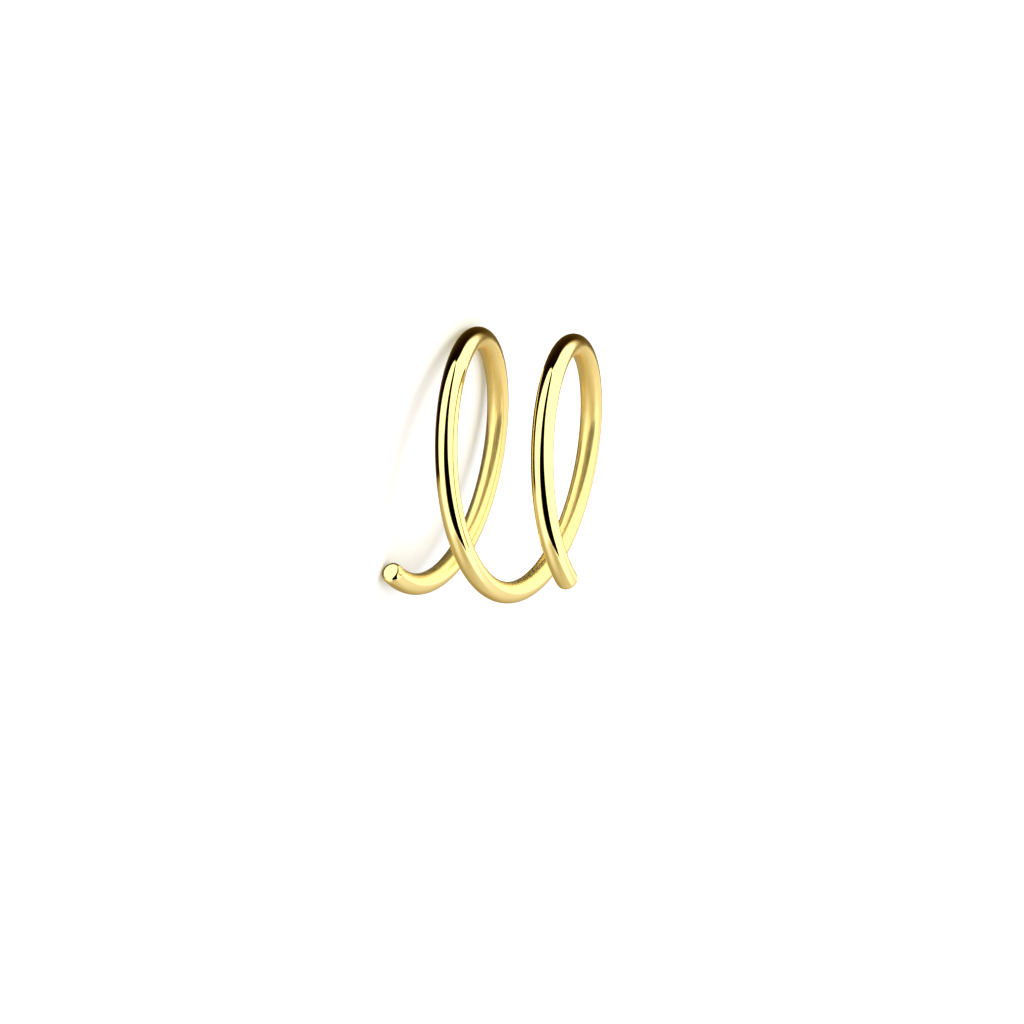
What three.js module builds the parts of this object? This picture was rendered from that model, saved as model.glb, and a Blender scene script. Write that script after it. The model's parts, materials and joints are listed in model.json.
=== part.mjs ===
// Nose ring: one round wire wound into an open coil of almost two turns, with plain cut ends.
// Sizes are in millimetres and +Z is up. The ring lies on its side, as it rests on a table: on its
// lower cut end and on the far side of its first turn, so the coil's axis leans away from +Z.
// The origin is under the middle of the ring, on the table.
import * as THREE from 'three';
import { mergeVertices } from 'three/addons/utils/BufferGeometryUtils.js';

// Driving sizes of the wound wire
const WIRE_DIAMETER = 0.8;
const COIL_BORE = 8.4;
const COIL_TURNS = 1.985;
const MIDDLE_ADVANCE = 3.79;
const END_ADVANCE = 3.08;
const RIM_ROUND = 0.07;

// Direction of the lower cut end from the coil's middle, in degrees from +X towards +Y
const LOWER_END_BEARING = -15;

// Fineness of the mesh
const WIRE_SIDES = 20;
const STEPS_PER_TURN = 64;
const RIM_STEPS = 3;
const CENTRE_LINE_SAMPLES = 400;

// Search for the resting position: its largest and smallest step in degrees, and the ways to tip
const FIRST_TIP = 8;
const LAST_TIP = 0.005;
const TIP_WAYS = 24;

// Polished yellow gold
const GOLD = new THREE.MeshStandardMaterial({ color: 0xe8c27a, metalness: 1, roughness: 0.12 });

const WIRE_RADIUS = WIRE_DIAMETER / 2;
const COIL_RADIUS = COIL_BORE / 2 + WIRE_RADIUS;

// Centre line of the wound wire: a right-handed helix about +Z, the middle of the wire at height
// zero. Its advance per turn is largest in the middle and eases off alike towards both ends.
class CoilCentreLine extends THREE.Curve {
  angle(t) {
    return Math.PI * COIL_TURNS * (2 * t - 1);
  }

  outward(t) {
    return new THREE.Vector3(Math.cos(this.angle(t)), Math.sin(this.angle(t)), 0);
  }

  getPoint(t, target = new THREE.Vector3()) {
    const fromMiddle = 2 * t - 1;
    const eased = (END_ADVANCE - MIDDLE_ADVANCE) * fromMiddle ** 3 / 3;
    const height = (COIL_TURNS / 2) * (MIDDLE_ADVANCE * fromMiddle + eased);
    return target.copy(this.outward(t)).multiplyScalar(COIL_RADIUS).setZ(height);
  }
}

// Half section of the straight wire, from the middle of one cut end to the middle of the other
function wireProfile(length) {
  const flat = WIRE_RADIUS - RIM_ROUND;
  const rim = new THREE.Path().absarc(flat, RIM_ROUND, RIM_ROUND, -Math.PI / 2, 0).getPoints(RIM_STEPS);
  const farRim = rim.map((point) => new THREE.Vector2(point.x, length - point.y)).reverse();
  const steps = Math.round(COIL_TURNS * STEPS_PER_TURN);
  const side = [];
  for (let step = 1; step < steps; step += 1) {
    const share = step / steps;
    side.push(new THREE.Vector2(WIRE_RADIUS, RIM_ROUND + (length - 2 * RIM_ROUND) * share));
  }
  return [new THREE.Vector2(0, 0), ...rim, ...side, ...farRim, new THREE.Vector2(0, length)];
}

// The straight wire with every point bent onto the centre line, its cut ends square to the wire
function woundWire(centreLine) {
  const length = centreLine.getLength();
  const straight = new THREE.LatheGeometry(wireProfile(length), WIRE_SIDES);
  const points = straight.attributes.position;
  for (let i = 0; i < points.count; i += 1) {
    const t = centreLine.getUtoTmapping(THREE.MathUtils.clamp(points.getY(i) / length, 0, 1));
    const outward = centreLine.outward(t);
    const across = outward.clone().cross(centreLine.getTangent(t));
    const bent = centreLine.getPoint(t);
    bent.addScaledVector(outward, points.getX(i)).addScaledVector(across, points.getZ(i));
    points.setXYZ(i, bent.x, bent.y, bent.z);
  }
  straight.deleteAttribute('normal');
  straight.deleteAttribute('uv');
  const wound = mergeVertices(straight);
  wound.computeVertexNormals();
  return wound;
}

// The middle of the wire's mass, from points at even distances along it
function middleOfMass(centreLine) {
  const points = centreLine.getSpacedPoints(CENTRE_LINE_SAMPLES);
  const sum = points.reduce((total, point) => total.add(point), new THREE.Vector3());
  return sum.divideScalar(points.length);
}

// How high the middle of mass stands over the table when the given direction is up
function massHeight(points, mass, up) {
  let lowest = Infinity;
  for (const point of points) lowest = Math.min(lowest, point.dot(up));
  return mass.dot(up) - lowest;
}

// The direction that is up when the ring lies at rest. Starting with the coil's axis upright, the
// ring is tipped a little each way for as long as that lowers its mass, and then in finer steps.
function restingUp(geometry, mass) {
  const place = geometry.attributes.position;
  const points = [];
  for (let i = 0; i < place.count; i += 1) points.push(new THREE.Vector3().fromBufferAttribute(place, i));
  let up = new THREE.Vector3(0, 0, 1);
  let height = massHeight(points, mass, up);
  let tip = FIRST_TIP;
  while (tip > LAST_TIP) {
    let settled = true;
    for (let way = 0; way < TIP_WAYS; way += 1) {
      const bearing = 2 * Math.PI * way / TIP_WAYS;
      const push = new THREE.Vector3(Math.cos(bearing), Math.sin(bearing), 0);
      const tipped = up.clone().addScaledVector(push, THREE.MathUtils.degToRad(tip)).normalize();
      const tippedHeight = massHeight(points, mass, tipped);
      if (tippedHeight < height) {
        up = tipped;
        height = tippedHeight;
        settled = false;
      }
    }
    if (settled) tip /= 2;
  }
  return up;
}

// Turns the ring so that its table side is down and its lower end has its bearing, and sets it on
// the table over the origin
function layOnTable(ring, centreLine) {
  const up = restingUp(ring.geometry, middleOfMass(centreLine));
  const level = new THREE.Quaternion().setFromUnitVectors(up, new THREE.Vector3(0, 0, 1));
  const lowerEnd = centreLine.getPoint(0).applyQuaternion(level);
  const bearing = THREE.MathUtils.degToRad(LOWER_END_BEARING) - Math.atan2(lowerEnd.y, lowerEnd.x);
  const turn = new THREE.Quaternion().setFromAxisAngle(new THREE.Vector3(0, 0, 1), bearing);
  ring.quaternion.copy(turn).multiply(level);
  ring.updateMatrixWorld();
  const box = new THREE.Box3().setFromObject(ring, true);
  const middle = box.getCenter(new THREE.Vector3());
  ring.position.set(-middle.x, -middle.y, -box.min.z);
}

const centreLine = new CoilCentreLine();
centreLine.arcLengthDivisions = CENTRE_LINE_SAMPLES;

const ring = new THREE.Mesh(woundWire(centreLine), GOLD);
ring.name = 'coiled_wire';
layOnTable(ring, centreLine);

const noseRing = new THREE.Group();
noseRing.add(ring);

export default noseRing;
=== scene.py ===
"""Nose ring: a polished gold wire wound into an open coil of almost two turns, on a pale studio floor."""

import json
import math

import bmesh
import bpy
from mathutils import Matrix, Vector


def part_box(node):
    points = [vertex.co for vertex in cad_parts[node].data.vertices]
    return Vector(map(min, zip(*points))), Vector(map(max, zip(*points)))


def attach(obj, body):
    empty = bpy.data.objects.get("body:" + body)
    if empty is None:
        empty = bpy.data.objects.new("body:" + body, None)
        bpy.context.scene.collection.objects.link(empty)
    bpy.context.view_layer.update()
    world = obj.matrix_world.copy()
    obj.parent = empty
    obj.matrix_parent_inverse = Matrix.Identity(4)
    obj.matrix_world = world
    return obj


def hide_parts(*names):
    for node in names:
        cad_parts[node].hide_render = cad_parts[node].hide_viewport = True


bl_info = {
    "name": "Nose ring",
    "version": (1, 0, 0),
    "blender": (4, 5, 0),
    "location": "3D View > Sidebar > Nose ring",
    "description": "Makes a wound gold nose ring and the studio it lies in",
    "category": "Add Mesh",
}

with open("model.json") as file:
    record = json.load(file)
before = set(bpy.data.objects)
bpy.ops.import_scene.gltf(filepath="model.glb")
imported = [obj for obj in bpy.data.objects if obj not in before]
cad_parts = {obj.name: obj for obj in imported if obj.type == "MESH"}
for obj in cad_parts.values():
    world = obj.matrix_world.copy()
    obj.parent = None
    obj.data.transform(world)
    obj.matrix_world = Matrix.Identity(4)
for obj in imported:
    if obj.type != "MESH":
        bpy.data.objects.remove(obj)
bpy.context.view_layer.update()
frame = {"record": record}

MM = 0.001

# Fineness of the wire's mesh
WIRE_SIDES = 72
LENGTH_CUTS = 24
RIM_SEGMENTS = 10
CROWN_RINGS = 3
GUIDE_POINTS_PER_TURN = 24
GUIDE_RESOLUTION = 24
LENGTH_STEPS = 2000

# The fine marks in the gold repeat along the wire at this scale
MARKS_ALONG = 290.0
# Where the mirror polish of the outer side gives way to the inner side's, as the cosine of the place
# round the wire, which is -1 on the outer side and 1 on the inner side
POLISH_FADE = (-0.3, 0.4)
# A face belongs to a cut face when its normal is this close to the stated axis, as a cosine
CUT_FACE_SLANT = 0.92

# Overhead lamp and sky, which light the floor
LAMP_PLACE = (-0.3, -0.4, 1.1)
LAMP_SIZE = 1.2
LAMP_WATTS = 6.0
SKY_STRENGTH = 1.15
TENT_RADIUS = 0.25

# The light that the gold mirrors. The photograph shows it in the wire: its tones were read for each
# mirrored direction, and these points were then placed by hand and tried out in renders. Directions
# are in degrees seen from the ring: longitude 0 is towards the camera and grows to the picture's
# right, latitude is up.
# Edges of the dark gap between the two soft boxes, as (latitude, longitude). They cross low down.
GAP_LEFT_EDGE = ((-90, 90), (-58, 40), (-50, -9), (-40, -24), (-10, -27), (30, -20), (60, -13), (90, 0))
GAP_RIGHT_EDGE = (
    (-90, -60), (-58, 0), (-50, 50), (-44, 66), (-32, 44), (-7, 25), (20, 18), (52, 22), (75, 46), (90, 80),
)
# Edges of the dark corner behind, as (latitude, longitude), and its lower edge, the other way round
CORNER_LEFT_EDGE = ((-90, -80), (0, -80), (20, -86), (45, -95), (60, -102), (75, -120), (90, -140))
CORNER_RIGHT_EDGE = ((-90, 146), (0, 146), (40, 144), (60, 138), (75, 116), (90, 96))
CORNER_LOW_EDGE = ((-180, -5), (-135, -8), (-100, -10), (0, -10), (110, -5), (140, -2), (180, -5))
# Brightness of the soft boxes and the sheet below the horizon, as (longitude, brightness), from the
# horizon down to the middle of the sheet, and further down
LOW_LIGHT = (
    (-180, 0.43), (-115, 0.54), (-88, 0.9), (-60, 1.6), (72, 1.6), (110, 1.06), (134, 0.87), (160, 0.62),
    (180, 0.43),
)
DEEP_LIGHT = ((-180, 0.64), (-130, 0.65), (-60, 1.0), (15, 0.61), (100, 0.78), (180, 0.64))
# Faint glow of the dark corner straight behind, as (latitude, brightness)
CORNER_GLOW = ((-90, 0.22), (0, 0.19), (20, 0.085), (42, 0.028), (90, 0.004))


class NoseRingSizes(bpy.types.PropertyGroup):
    """Sizes of the wound wire"""

    wire_diameter: bpy.props.FloatProperty(
        name="Wire diameter", description="Thickness of the round wire",
        default=0.8 * MM, min=0.2 * MM, max=3 * MM, precision=5, unit="LENGTH",
    )
    coil_bore: bpy.props.FloatProperty(
        name="Coil bore", description="Free width inside the coil",
        default=8.4 * MM, min=2 * MM, max=30 * MM, precision=5, unit="LENGTH",
    )
    coil_turns: bpy.props.FloatProperty(
        name="Turns", description="How many times the wire goes round",
        default=1.985, min=1, max=4,
    )
    middle_advance: bpy.props.FloatProperty(
        name="Advance in the middle", description="How far one turn moves along the coil in its middle",
        default=3.79 * MM, min=1 * MM, max=10 * MM, precision=5, unit="LENGTH",
    )
    end_advance: bpy.props.FloatProperty(
        name="Advance at the ends", description="How far one turn moves along the coil at its ends",
        default=3.08 * MM, min=1 * MM, max=10 * MM, precision=5, unit="LENGTH",
    )
    rim_round: bpy.props.FloatProperty(
        name="Rim rounding", description="How far the rounding of each cut end reaches in from its rim",
        default=0.24 * MM, min=0.01 * MM, max=0.3 * MM, precision=6, unit="LENGTH",
    )
    rim_fullness: bpy.props.FloatProperty(
        name="Fullness of the rims", description="Shape of the rounding: 0.5 is a round arc, 1 a square edge",
        default=0.6, min=0.5, max=1,
    )
    crown: bpy.props.FloatProperty(
        name="Crown of the cut faces", description="How far the middle of each cut face stands out",
        default=0.004 * MM, min=0, max=0.2 * MM, precision=6, unit="LENGTH",
    )


class NoseRingFinish(bpy.types.PropertyGroup):
    """Colour and polish of the gold"""

    gold: bpy.props.FloatVectorProperty(
        name="Gold", description="Colour of the polished gold",
        default=(1.0, 0.80, 0.345), min=0, max=1, size=3, subtype="COLOR",
    )
    deep_gold: bpy.props.FloatVectorProperty(
        name="Deeper gold", description="Slightly richer tone that the gold varies towards",
        default=(0.98, 0.775, 0.325), min=0, max=1, size=3, subtype="COLOR",
    )
    rim_gold: bpy.props.FloatVectorProperty(
        name="Gold seen edge-on", description="Tint of the gold where it turns away from the eye",
        default=(1.0, 0.93, 0.80), min=0, max=1, size=3, subtype="COLOR",
    )
    mirror_roughness: bpy.props.FloatProperty(
        name="Mirror roughness", description="Roughness of the outer side of the coil, polished to a mirror",
        default=0.06, min=0, max=1, subtype="FACTOR",
    )
    inner_roughness: bpy.props.FloatProperty(
        name="Inner roughness",
        description="Roughness of the inner side of the coil, where the wheel can't reach",
        default=0.21, min=0, max=1, subtype="FACTOR",
    )
    satin_roughness: bpy.props.FloatProperty(
        name="Satin roughness", description="Roughness of the fine satin grain on the inner side of the coil",
        default=0.62, min=0, max=1, subtype="FACTOR",
    )
    satin_share: bpy.props.FloatProperty(
        name="Satin share", description="How much of the inner side the satin grain covers",
        default=0.36, min=0, max=1, subtype="FACTOR",
    )
    satin_gold: bpy.props.FloatVectorProperty(
        name="Satin gold", description="Colour of the satin grain on the inner side of the coil",
        default=(1.0, 0.73, 0.26), min=0, max=1, size=3, subtype="COLOR",
    )
    cut_roughness: bpy.props.FloatProperty(
        name="Cut face roughness", description="Roughness of the two cut faces",
        default=0.1, min=0, max=1, subtype="FACTOR",
    )


class StudioSettings(bpy.types.PropertyGroup):
    """Camera, floor and light"""

    camera_place: bpy.props.FloatVectorProperty(
        name="Camera place", description="Where the camera stands",
        default=(1.13112 * MM, -161.61182 * MM, 49.92702 * MM), size=3, precision=6, subtype="TRANSLATION",
    )
    camera_bearing: bpy.props.FloatProperty(
        name="Camera bearing", description="Direction of view from +Y towards +X",
        default=math.radians(0.10005), subtype="ANGLE",
    )
    camera_dip: bpy.props.FloatProperty(
        name="Camera dip", description="How far the camera looks down",
        default=math.radians(15.9785), subtype="ANGLE",
    )
    camera_roll: bpy.props.FloatProperty(
        name="Camera roll", description="Turn of the camera about its direction of view",
        default=math.radians(108.49676), subtype="ANGLE",
    )
    lens: bpy.props.FloatProperty(
        name="Lens", description="Focal length in millimetres on a 36 mm sensor",
        default=162.33, min=10, max=500,
    )
    floor_colour: bpy.props.FloatVectorProperty(
        name="Floor", description="Colour of the pale floor",
        default=(0.92, 0.92, 0.92), min=0, max=1, size=3, subtype="COLOR",
    )
    panel_colour: bpy.props.FloatVectorProperty(
        name="Soft boxes", description="Colour of the soft boxes that the gold mirrors",
        default=(1.0, 1.0, 1.0), min=0, max=1, size=3, subtype="COLOR",
    )
    panel_strength: bpy.props.FloatProperty(
        name="Soft box strength", description="Brightness of the soft boxes",
        default=1.6, min=0, max=10,
    )


def select_only(piece):
    """Nothing but this piece is selected, and it is active."""
    bpy.ops.object.select_all(action="DESELECT")
    piece.select_set(True)
    bpy.context.view_layer.objects.active = piece


def pick(piece, kind, wanted):
    """Selects the faces or edges for which wanted is true. The piece is in edit mode."""
    bpy.ops.mesh.select_mode(type=kind)
    bpy.ops.mesh.select_all(action="DESELECT")
    mesh = bmesh.from_edit_mesh(piece.data)
    parts = mesh.faces if kind == "FACE" else mesh.edges
    chosen = 0
    for part in parts:
        if wanted(part):
            part.select_set(True)
            chosen += 1
    mesh.select_flush_mode()
    bmesh.update_edit_mesh(piece.data)
    if not chosen:
        raise RuntimeError(f"nothing to select on {piece.name}")


def coil_point(sizes, share):
    """Place on the wire's centre line and its change with share, which runs from 0 to 1 along the wire."""
    radius = (sizes.coil_bore + sizes.wire_diameter) / 2
    out = 2 * share - 1
    angle = math.pi * sizes.coil_turns * out
    turn = 2 * math.pi * sizes.coil_turns
    gain = sizes.end_advance - sizes.middle_advance
    height = sizes.coil_turns / 2 * (sizes.middle_advance * out + gain * out**3 / 3)
    rise = sizes.coil_turns * (sizes.middle_advance + gain * out**2)
    place = Vector((radius * math.cos(angle), radius * math.sin(angle), height))
    return place, Vector((-radius * turn * math.sin(angle), radius * turn * math.cos(angle), rise))


def coil_length(sizes):
    """Length of the wire's centre line."""
    shares = ((i + 0.5) / LENGTH_STEPS for i in range(LENGTH_STEPS))
    return sum(coil_point(sizes, share)[1].length for share in shares) / LENGTH_STEPS


def axes_from(along, towards):
    """A turn whose first axis is along and whose second lies towards the other direction."""
    first = along.normalized()
    second = (towards - towards.dot(first) * first).normalized()
    return Matrix((first, second, first.cross(second))).transposed()


def lie_of_the_ring(sizes):
    """Matrix that carries the coil from its own axes onto the two cut faces that the frame states."""
    faces = {m["name"]: m for m in frame["record"]["mounts"]}
    low, high = faces["lower_cut_face"], faces["upper_cut_face"]
    low_place, high_place = Vector(low["pos_m"]), Vector(high["pos_m"])
    laid = axes_from(high_place - low_place, Vector(high["axis"]) - Vector(low["axis"]))
    start, start_way = coil_point(sizes, 0)
    end, end_way = coil_point(sizes, 1)
    own = axes_from(end - start, end_way.normalized() + start_way.normalized())
    turn = laid @ own.transposed()
    shift = (low_place + high_place) / 2 - turn @ ((start + end) / 2)
    return Matrix.Translation(shift) @ turn.to_4x4()


def guide_curve(sizes):
    """The centre line as a smooth curve that the straight wire is bent along."""
    bpy.ops.object.select_all(action="DESELECT")
    bpy.ops.curve.primitive_bezier_curve_add(location=(0, 0, 0))
    guide = bpy.context.object
    guide.name = "centre_line"
    count = round(sizes.coil_turns * GUIDE_POINTS_PER_TURN)
    spline = guide.data.splines[0]
    spline.bezier_points.add(count + 1 - len(spline.bezier_points))
    for i, point in enumerate(spline.bezier_points):
        place, change = coil_point(sizes, i / count)
        point.handle_left_type = point.handle_right_type = "FREE"
        point.co = place
        point.handle_left = place - change / (3 * count)
        point.handle_right = place + change / (3 * count)
    guide.data.resolution_u = GUIDE_RESOLUTION
    guide.data.twist_mode = "Z_UP"
    guide.data.use_stretch = True
    guide.data.use_deform_bounds = True
    return guide


def straight_wire(sizes):
    """A straight wire along +X with rounded rims and slightly crowned cut faces, finely cut lengthwise."""
    length = coil_length(sizes)
    bpy.ops.object.select_all(action="DESELECT")
    bpy.ops.mesh.primitive_cylinder_add(
        vertices=WIRE_SIDES, radius=sizes.wire_diameter / 2, depth=length,
        location=(length / 2, 0, 0), rotation=(0, math.pi / 2, 0),
    )
    wire = bpy.context.object
    wire.name = "wound_wire"
    bpy.ops.object.transform_apply(location=True, rotation=True, scale=True)
    bpy.ops.object.mode_set(mode="EDIT")

    def on_an_end(edge):
        ends = [vertex.co.x for vertex in edge.verts]
        return max(ends) < length / 1000 or min(ends) > length * 0.999

    pick(wire, "EDGE", on_an_end)
    bpy.ops.mesh.bevel(
        offset=sizes.rim_round, segments=RIM_SEGMENTS, profile=sizes.rim_fullness, affect="EDGES"
    )
    pick(wire, "FACE", lambda face: len(face.verts) == WIRE_SIDES)
    flat = sizes.wire_diameter / 2 - sizes.rim_round
    for ring in range(CROWN_RINGS):
        outer, inner = 1 - ring / (CROWN_RINGS + 1), 1 - (ring + 1) / (CROWN_RINGS + 1)
        bpy.ops.mesh.inset(
            thickness=flat * (outer - inner), depth=sizes.crown * (outer**2 - inner**2),
            use_boundary=True, use_even_offset=True,
        )
    for _ in range(2):
        pick(wire, "EDGE", lambda edge: abs(edge.verts[0].co.x - edge.verts[1].co.x) > length / 100)
        bpy.ops.mesh.subdivide(number_cuts=LENGTH_CUTS, smoothness=0)
    bpy.ops.object.mode_set(mode="OBJECT")
    return wire


def sockets(tree, kind, settings=(), **values):
    """A new node with its settings and its inputs, each a value or another node's output."""
    node = tree.nodes.new(kind)
    for name, value in dict(settings).items():
        setattr(node, name, value)
    for name, value in values.items():
        key = int(name[1:]) if name[0] == "i" and name[1:].isdigit() else name.replace("_", " ")
        if isinstance(value, bpy.types.NodeSocket):
            tree.links.new(value, node.inputs[key])
        else:
            node.inputs[key].default_value = value
    return node


def maths(tree, operation, first, second=0.0, third=0.0):
    """The result of one Math node."""
    return sockets(tree, "ShaderNodeMath", {"operation": operation}, i0=first, i1=second, i2=third).outputs[0]


def rise(tree, value, low, high):
    """0 below low, 1 above high, and smooth in between. low and high may be sockets."""
    node = sockets(
        tree, "ShaderNodeMapRange", {"interpolation_type": "SMOOTHSTEP"},
        Value=value, From_Min=low, From_Max=high,
    )
    return node.outputs[0]


def mixed(tree, share, first, second):
    """The first value where share is 0 and the second where it is 1."""
    return sockets(tree, "ShaderNodeMix", Factor=share, A=first, B=second).outputs[0]


def polish_marks_group():
    """Fine marks that run along or across a polished surface: how rough it is and how high it stands."""
    group = bpy.data.node_groups.new("Polish marks", "ShaderNodeTree")
    face = group.interface
    face.new_socket("Vector", in_out="INPUT", socket_type="NodeSocketVector")
    for name, value in (("Roughness", 0.05), ("Spread", 0.02), ("Fineness", 20.0), ("Stretch", 0.05)):
        face.new_socket(name, in_out="INPUT", socket_type="NodeSocketFloat").default_value = value
    face.new_socket("Roughness", in_out="OUTPUT", socket_type="NodeSocketFloat")
    face.new_socket("Height", in_out="OUTPUT", socket_type="NodeSocketFloat")
    face.new_socket("Tone", in_out="OUTPUT", socket_type="NodeSocketFloat")
    start = group.nodes.new("NodeGroupInput").outputs
    end = group.nodes.new("NodeGroupOutput").inputs
    squeeze = sockets(group, "ShaderNodeCombineXYZ", X=1.0, Y=1.0, Z=start["Stretch"])
    lined = sockets(
        group, "ShaderNodeVectorMath", {"operation": "MULTIPLY"}, i0=start["Vector"], i1=squeeze.outputs[0]
    )
    lines = sockets(
        group, "ShaderNodeTexNoise",
        Vector=lined.outputs[0], Scale=start["Fineness"], Detail=4.0, Roughness=0.6,
    ).outputs[0]
    clouds = sockets(group, "ShaderNodeTexNoise", Vector=start["Vector"], Scale=0.35, Detail=2.0).outputs[0]
    both = maths(group, "ADD", maths(group, "MULTIPLY", lines, 0.65), maths(group, "MULTIPLY", clouds, 0.35))
    swing = maths(group, "MULTIPLY", maths(group, "SUBTRACT", both, 0.5), start["Spread"])
    group.links.new(maths(group, "ADD", start["Roughness"], swing), end["Roughness"])
    group.links.new(lines, end["Height"])
    group.links.new(clouds, end["Tone"])
    return group


def gold_material(name, finish, group, roughness, inner_roughness, satin, spread, fineness, stretch, depth):
    """Polished gold whose marks follow the wire. Its roughness goes from one value on the outer side
    of the coil to another on the inner side, where satin is the share of a fine satin grain."""
    material = bpy.data.materials.new(name)
    material.use_nodes = True
    tree = material.node_tree
    shader = tree.nodes["Principled BSDF"]
    flat = sockets(tree, "ShaderNodeUVMap", {"uv_map": "UVMap"})
    split = sockets(tree, "ShaderNodeSeparateXYZ", Vector=flat.outputs[0])
    angle = maths(tree, "MULTIPLY", split.outputs["X"], 2 * math.pi)
    inward = maths(tree, "COSINE", angle)
    place = sockets(
        tree, "ShaderNodeCombineXYZ", X=inward, Y=maths(tree, "SINE", angle),
        Z=maths(tree, "MULTIPLY", split.outputs["Y"], MARKS_ALONG),
    )
    side = rise(tree, inward, *POLISH_FADE)
    marks = sockets(tree, "ShaderNodeGroup", {"node_tree": group}, Vector=place.outputs[0], Spread=spread)
    marks.inputs["Fineness"].default_value = fineness
    marks.inputs["Stretch"].default_value = stretch
    tree.links.new(mixed(tree, side, roughness, inner_roughness), marks.inputs["Roughness"])
    grain = sockets(tree, "ShaderNodeTexWhiteNoise", Vector=place.outputs[0]).outputs[0]
    satin_part = maths(tree, "MULTIPLY", side, satin)
    satiny = maths(tree, "LESS_THAN", grain, satin_part)
    tree.links.new(
        mixed(tree, satiny, marks.outputs["Roughness"], finish.satin_roughness), shader.inputs["Roughness"]
    )
    tone = sockets(tree, "ShaderNodeMix", {"data_type": "RGBA"}, Factor=marks.outputs["Tone"])
    tone.inputs[6].default_value = (*finish.gold, 1)
    tone.inputs[7].default_value = (*finish.deep_gold, 1)
    colour = sockets(tree, "ShaderNodeMix", {"data_type": "RGBA"}, Factor=satin_part)
    tree.links.new(tone.outputs[2], colour.inputs[6])
    colour.inputs[7].default_value = (*finish.satin_gold, 1)
    bump = sockets(tree, "ShaderNodeBump", Height=marks.outputs["Height"], Strength=1.0, Distance=depth)
    tree.links.new(colour.outputs[2], shader.inputs["Base Color"])
    tree.links.new(bump.outputs[0], shader.inputs["Normal"])
    shader.inputs["Metallic"].default_value = 1.0
    shader.inputs["Specular Tint"].default_value = (*finish.rim_gold, 1)
    return material


class NOSERING_OT_wound_wire(bpy.types.Operator):
    """Make the wound gold wire, the whole of the ring, and let it stand for the plain solid"""

    bl_idname = "nosering.wound_wire"
    bl_label = "Wound wire"
    bl_options = {"REGISTER", "UNDO"}

    def execute(self, context):
        sizes, finish = context.scene.nose_ring_sizes, context.scene.nose_ring_finish
        wire = straight_wire(sizes)
        guide = guide_curve(sizes)
        select_only(wire)
        bend = wire.modifiers.new("Wind", "CURVE")
        bend.object = guide
        bend.deform_axis = "POS_X"
        bpy.ops.object.modifier_apply(modifier=bend.name)
        select_only(guide)
        bpy.ops.object.delete()
        select_only(wire)
        wire.matrix_world = lie_of_the_ring(sizes)
        bpy.ops.object.transform_apply(location=True, rotation=True, scale=True)
        bpy.ops.object.shade_smooth()
        marks = polish_marks_group()
        mirror = gold_material(
            "mirror_gold", finish, marks, finish.mirror_roughness, finish.inner_roughness, finish.satin_share,
            0.02, 6.0, 0.04, 0.0,
        )
        cut = gold_material(
            "cut_gold", finish, marks, finish.cut_roughness, finish.cut_roughness, 0.0,
            0.03, 8.0, 1.0, 0.0000003,
        )
        wire.data.materials.append(mirror)
        wire.data.materials.append(cut)
        bpy.ops.object.mode_set(mode="EDIT")
        cut_faces = frame["record"]["mounts"]
        flat = sizes.wire_diameter / 2 - sizes.rim_round * 0.5

        def on_a_cut_face(face):
            middle = face.calc_center_median()
            for stated in cut_faces:
                gap = middle - Vector(stated["pos_m"])
                if gap.length < flat and face.normal.dot(Vector(stated["axis"])) > CUT_FACE_SLANT:
                    return True
            return False

        pick(wire, "FACE", on_a_cut_face)
        wire.active_material_index = 1
        bpy.ops.object.material_slot_assign()
        bpy.ops.object.mode_set(mode="OBJECT")
        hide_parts("coiled_wire")
        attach(wire, "root")
        return {"FINISHED"}


def camera_axes(studio):
    """Turn of the camera: its right, its up and the way back from what it looks at."""
    bearing, dip, roll = studio.camera_bearing, studio.camera_dip, studio.camera_roll
    forward = Vector((math.sin(bearing) * math.cos(dip), math.cos(bearing) * math.cos(dip), -math.sin(dip)))
    level = forward.cross(Vector((0, 0, 1))).normalized()
    above = level.cross(forward)
    right = level * math.cos(roll) + above * math.sin(roll)
    return Matrix((right, right.cross(forward), -forward)).transposed()


def take_photo_view(studio):
    """The camera at the photograph's angle."""
    data = bpy.data.cameras.new("camera")
    data.lens = studio.lens
    data.sensor_width = 36
    data.clip_start = 0.005
    data.clip_end = 5
    camera = bpy.data.objects.new("camera", data)
    bpy.context.scene.collection.objects.link(camera)
    camera.matrix_world = Matrix.Translation(studio.camera_place) @ camera_axes(studio).to_4x4()
    bpy.context.scene.camera = camera


def pale_floor(studio):
    """A wide pale floor that the ring lies on."""
    bpy.ops.object.select_all(action="DESELECT")
    bpy.ops.mesh.primitive_plane_add(size=3, location=(0, 0, 0))
    floor = bpy.context.object
    floor.name = "floor"
    material = bpy.data.materials.new("pale_floor")
    material.use_nodes = True
    shader = material.node_tree.nodes["Principled BSDF"]
    shader.inputs["Base Color"].default_value = (*studio.floor_colour, 1)
    shader.inputs["Roughness"].default_value = 0.9
    shader.inputs["Specular IOR Level"].default_value = 0.0
    floor.data.materials.append(material)
    floor.visible_glossy = False


def drawn_curve(tree, value, corners, lowest, highest):
    """A smooth curve through its corners, over a value in degrees. lowest and highest bound its result."""
    first, last = corners[0][0], corners[-1][0]
    share = sockets(tree, "ShaderNodeMapRange", Value=value, From_Min=first, From_Max=last)
    node = sockets(tree, "ShaderNodeFloatCurve", Value=share.outputs[0])
    curve = node.mapping.curves[0]
    spots = [((x - first) / (last - first), (y - lowest) / (highest - lowest)) for x, y in corners]
    curve.points[0].location = spots[0]
    curve.points[1].location = spots[-1]
    for spot in spots[1:-1]:
        curve.points.new(*spot)
    node.mapping.update()
    return maths(tree, "MULTIPLY_ADD", node.outputs[0], highest - lowest, lowest)


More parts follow.
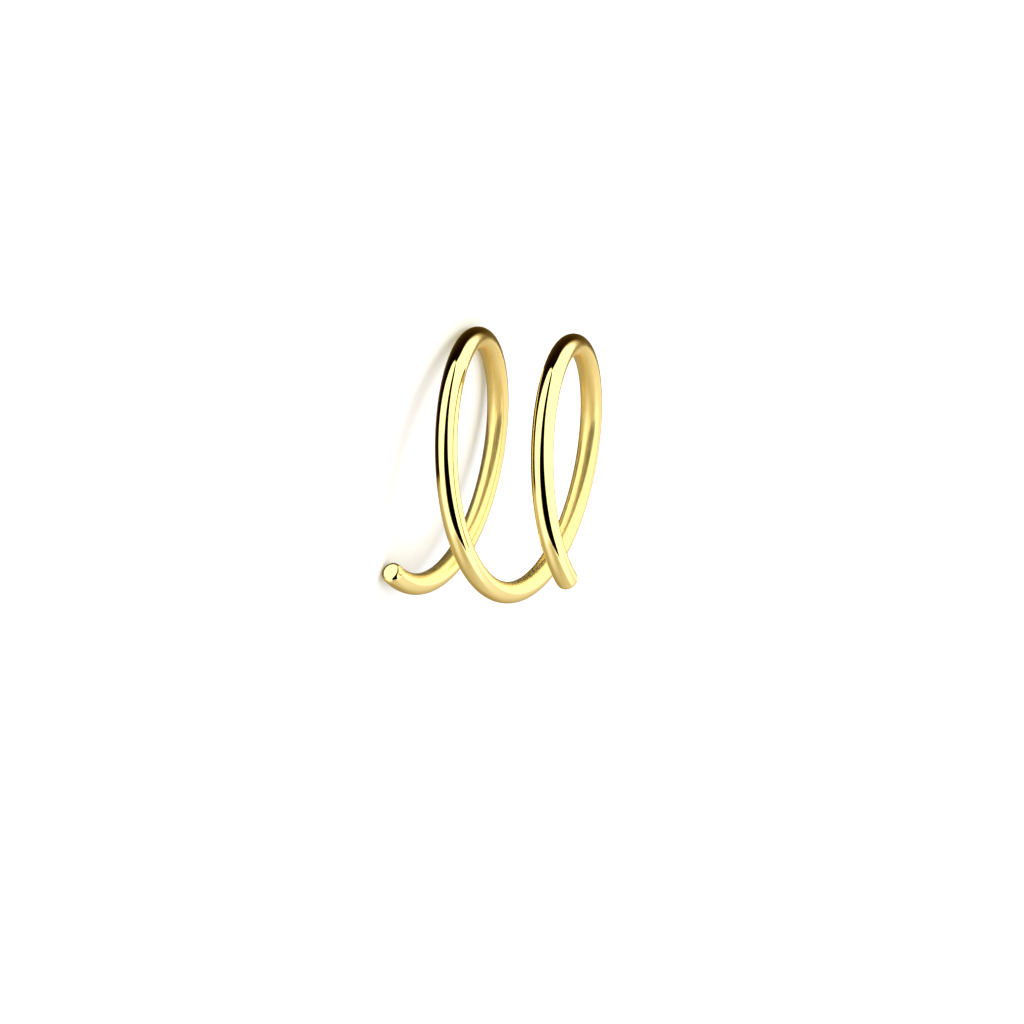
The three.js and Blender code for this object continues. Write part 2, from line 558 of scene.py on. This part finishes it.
def tent_material(studio):
    """Light of the studio as the gold mirrors it: two soft boxes with a dark gap between them towards
    the camera, a dimmer sheet below and behind, and a dark corner behind at the upper left."""
    material = bpy.data.materials.new("light_tent")
    material.use_nodes = True
    tree = material.node_tree
    tree.nodes.clear()
    place = tree.nodes.new("ShaderNodeTexCoord").outputs["Object"]
    way = sockets(tree, "ShaderNodeVectorMath", {"operation": "NORMALIZE"}, i0=place)
    axis = sockets(tree, "ShaderNodeSeparateXYZ", Vector=way.outputs[0]).outputs
    lon = maths(tree, "MULTIPLY", maths(tree, "ARCTAN2", axis["X"], axis["Z"]), 180 / math.pi)
    lat = maths(tree, "MULTIPLY", maths(tree, "ARCSINE", axis["Y"]), 180 / math.pi)

    def past(edge, soft):
        """1 to the right of an edge that is drawn over latitude, and 0 to its left."""
        line = drawn_curve(tree, lat, edge, -180, 180)
        return rise(tree, lon, maths(tree, "SUBTRACT", line, soft), maths(tree, "ADD", line, soft))

    blur = mixed(tree, rise(tree, lat, -40.0, 5.0), 10.0, 4.0)
    before_right_edge = maths(tree, "SUBTRACT", 1.0, past(GAP_RIGHT_EDGE, 3.0))
    gap = maths(tree, "MULTIPLY", past(GAP_LEFT_EDGE, blur), before_right_edge)
    left_of_corner = maths(tree, "SUBTRACT", 1.0, past(CORNER_LEFT_EDGE, 5.0))
    sides = maths(tree, "MAXIMUM", left_of_corner, past(CORNER_RIGHT_EDGE, 8.0))
    brink = drawn_curve(tree, lon, CORNER_LOW_EDGE, -90, 90)
    above = rise(tree, lat, maths(tree, "SUBTRACT", brink, 5.0), maths(tree, "ADD", brink, 5.0))
    corner = maths(tree, "MULTIPLY", sides, above)

    light = drawn_curve(tree, lon, LOW_LIGHT, 0, 2)
    nearer = maths(tree, "SUBTRACT", 1.0, rise(tree, maths(tree, "ABSOLUTE", lon), 136.0, 156.0))
    boxes = maths(tree, "MULTIPLY", nearer, rise(tree, lat, -14.0, 0.0))
    light = mixed(tree, boxes, light, studio.panel_strength)
    light = mixed(tree, rise(tree, lat, -60.0, -46.0), drawn_curve(tree, lon, DEEP_LIGHT, 0, 2), light)
    light = mixed(tree, rise(tree, lat, -90.0, -62.0), 0.68, light)
    beside = rise(tree, maths(tree, "ABSOLUTE", lon), 118.0, 162.0)
    corner_light = maths(
        tree, "MULTIPLY", drawn_curve(tree, lat, CORNER_GLOW, 0, 0.25), mixed(tree, beside, 0.06, 1.0)
    )
    light = mixed(tree, corner, light, corner_light)
    light = mixed(tree, gap, light, 0.0)
    green = maths(tree, "POWER", light, 0.18)
    blue = maths(tree, "MINIMUM", maths(tree, "POWER", light, 0.75), maths(tree, "DIVIDE", 1.62, light))
    warmth = sockets(tree, "ShaderNodeCombineColor", Red=1.0, Green=green, Blue=blue)
    tint = sockets(tree, "ShaderNodeMix", {"data_type": "RGBA", "blend_type": "MULTIPLY"}, Factor=1.0)
    tree.links.new(warmth.outputs[0], tint.inputs[6])
    tint.inputs[7].default_value = (*studio.panel_colour, 1)
    shine = sockets(tree, "ShaderNodeEmission", Color=tint.outputs[2], Strength=light)
    output = tree.nodes.new("ShaderNodeOutputMaterial")
    tree.links.new(shine.outputs[0], output.inputs["Surface"])
    return material


def light_tent(studio):
    """A tent round the ring that only mirrored light sees."""
    bpy.ops.object.select_all(action="DESELECT")
    bpy.ops.mesh.primitive_uv_sphere_add(radius=TENT_RADIUS, segments=64, ring_count=32)
    tent = bpy.context.object
    tent.name = "light_tent"
    low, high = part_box("coiled_wire")
    tent.matrix_world = Matrix.Translation((low + high) / 2) @ camera_axes(studio).to_4x4()
    tent.data.materials.append(tent_material(studio))
    tent.visible_camera = False
    tent.visible_diffuse = False
    tent.visible_shadow = False
    tent.visible_transmission = False


def soft_lamps():
    """A large soft lamp above and an even white sky, which light the floor."""
    data = bpy.data.lights.new("overhead", "AREA")
    data.shape = "DISK"
    data.size = LAMP_SIZE
    data.energy = LAMP_WATTS
    lamp = bpy.data.objects.new("overhead", data)
    bpy.context.scene.collection.objects.link(lamp)
    lamp.location = LAMP_PLACE
    lamp.rotation_mode = "QUATERNION"
    lamp.rotation_quaternion = (-Vector(LAMP_PLACE)).to_track_quat("-Z", "Y")
    lamp.visible_glossy = False
    world = bpy.data.worlds.new("sky")
    bpy.context.scene.world = world
    world.use_nodes = True
    sky = world.node_tree.nodes["Background"]
    sky.inputs["Color"].default_value = (1, 1, 1, 1)
    sky.inputs["Strength"].default_value = SKY_STRENGTH


class NOSERING_OT_studio(bpy.types.Operator):
    """Set up the pale floor, the soft light and the camera at the photograph's angle"""

    bl_idname = "nosering.studio"
    bl_label = "Studio"
    bl_options = {"REGISTER", "UNDO"}

    def execute(self, context):
        studio = context.scene.nose_ring_studio
        pale_floor(studio)
        light_tent(studio)
        soft_lamps()
        take_photo_view(studio)
        context.scene.view_settings.view_transform = "Standard"
        return {"FINISHED"}


class NOSERING_PT_panel(bpy.types.Panel):
    """Buttons and sizes of the nose ring"""

    bl_idname = "NOSERING_PT_panel"
    bl_label = "Nose ring"
    bl_space_type = "VIEW_3D"
    bl_region_type = "UI"
    bl_category = "Nose ring"

    def draw(self, context):
        layout = self.layout
        layout.operator(NOSERING_OT_wound_wire.bl_idname)
        layout.operator(NOSERING_OT_studio.bl_idname)
        scene = context.scene
        for group in (scene.nose_ring_sizes, scene.nose_ring_finish, scene.nose_ring_studio):
            box = layout.box()
            for name in group.__annotations__:
                box.prop(group, name)


CLASSES = (
    NoseRingSizes,
    NoseRingFinish,
    StudioSettings,
    NOSERING_OT_wound_wire,
    NOSERING_OT_studio,
    NOSERING_PT_panel,
)


def register():
    """Registers the classes and hangs the settings on the scene."""
    for item in CLASSES:
        bpy.utils.register_class(item)
    bpy.types.Scene.nose_ring_sizes = bpy.props.PointerProperty(type=NoseRingSizes)
    bpy.types.Scene.nose_ring_finish = bpy.props.PointerProperty(type=NoseRingFinish)
    bpy.types.Scene.nose_ring_studio = bpy.props.PointerProperty(type=StudioSettings)


def unregister():
    """Takes the settings and the classes away again."""
    del bpy.types.Scene.nose_ring_studio
    del bpy.types.Scene.nose_ring_finish
    del bpy.types.Scene.nose_ring_sizes
    for item in reversed(CLASSES):
        bpy.utils.unregister_class(item)


def main():
    register()
    bpy.ops.nosering.wound_wire()
    bpy.ops.nosering.studio()


if __name__ == "__main__":
    main()
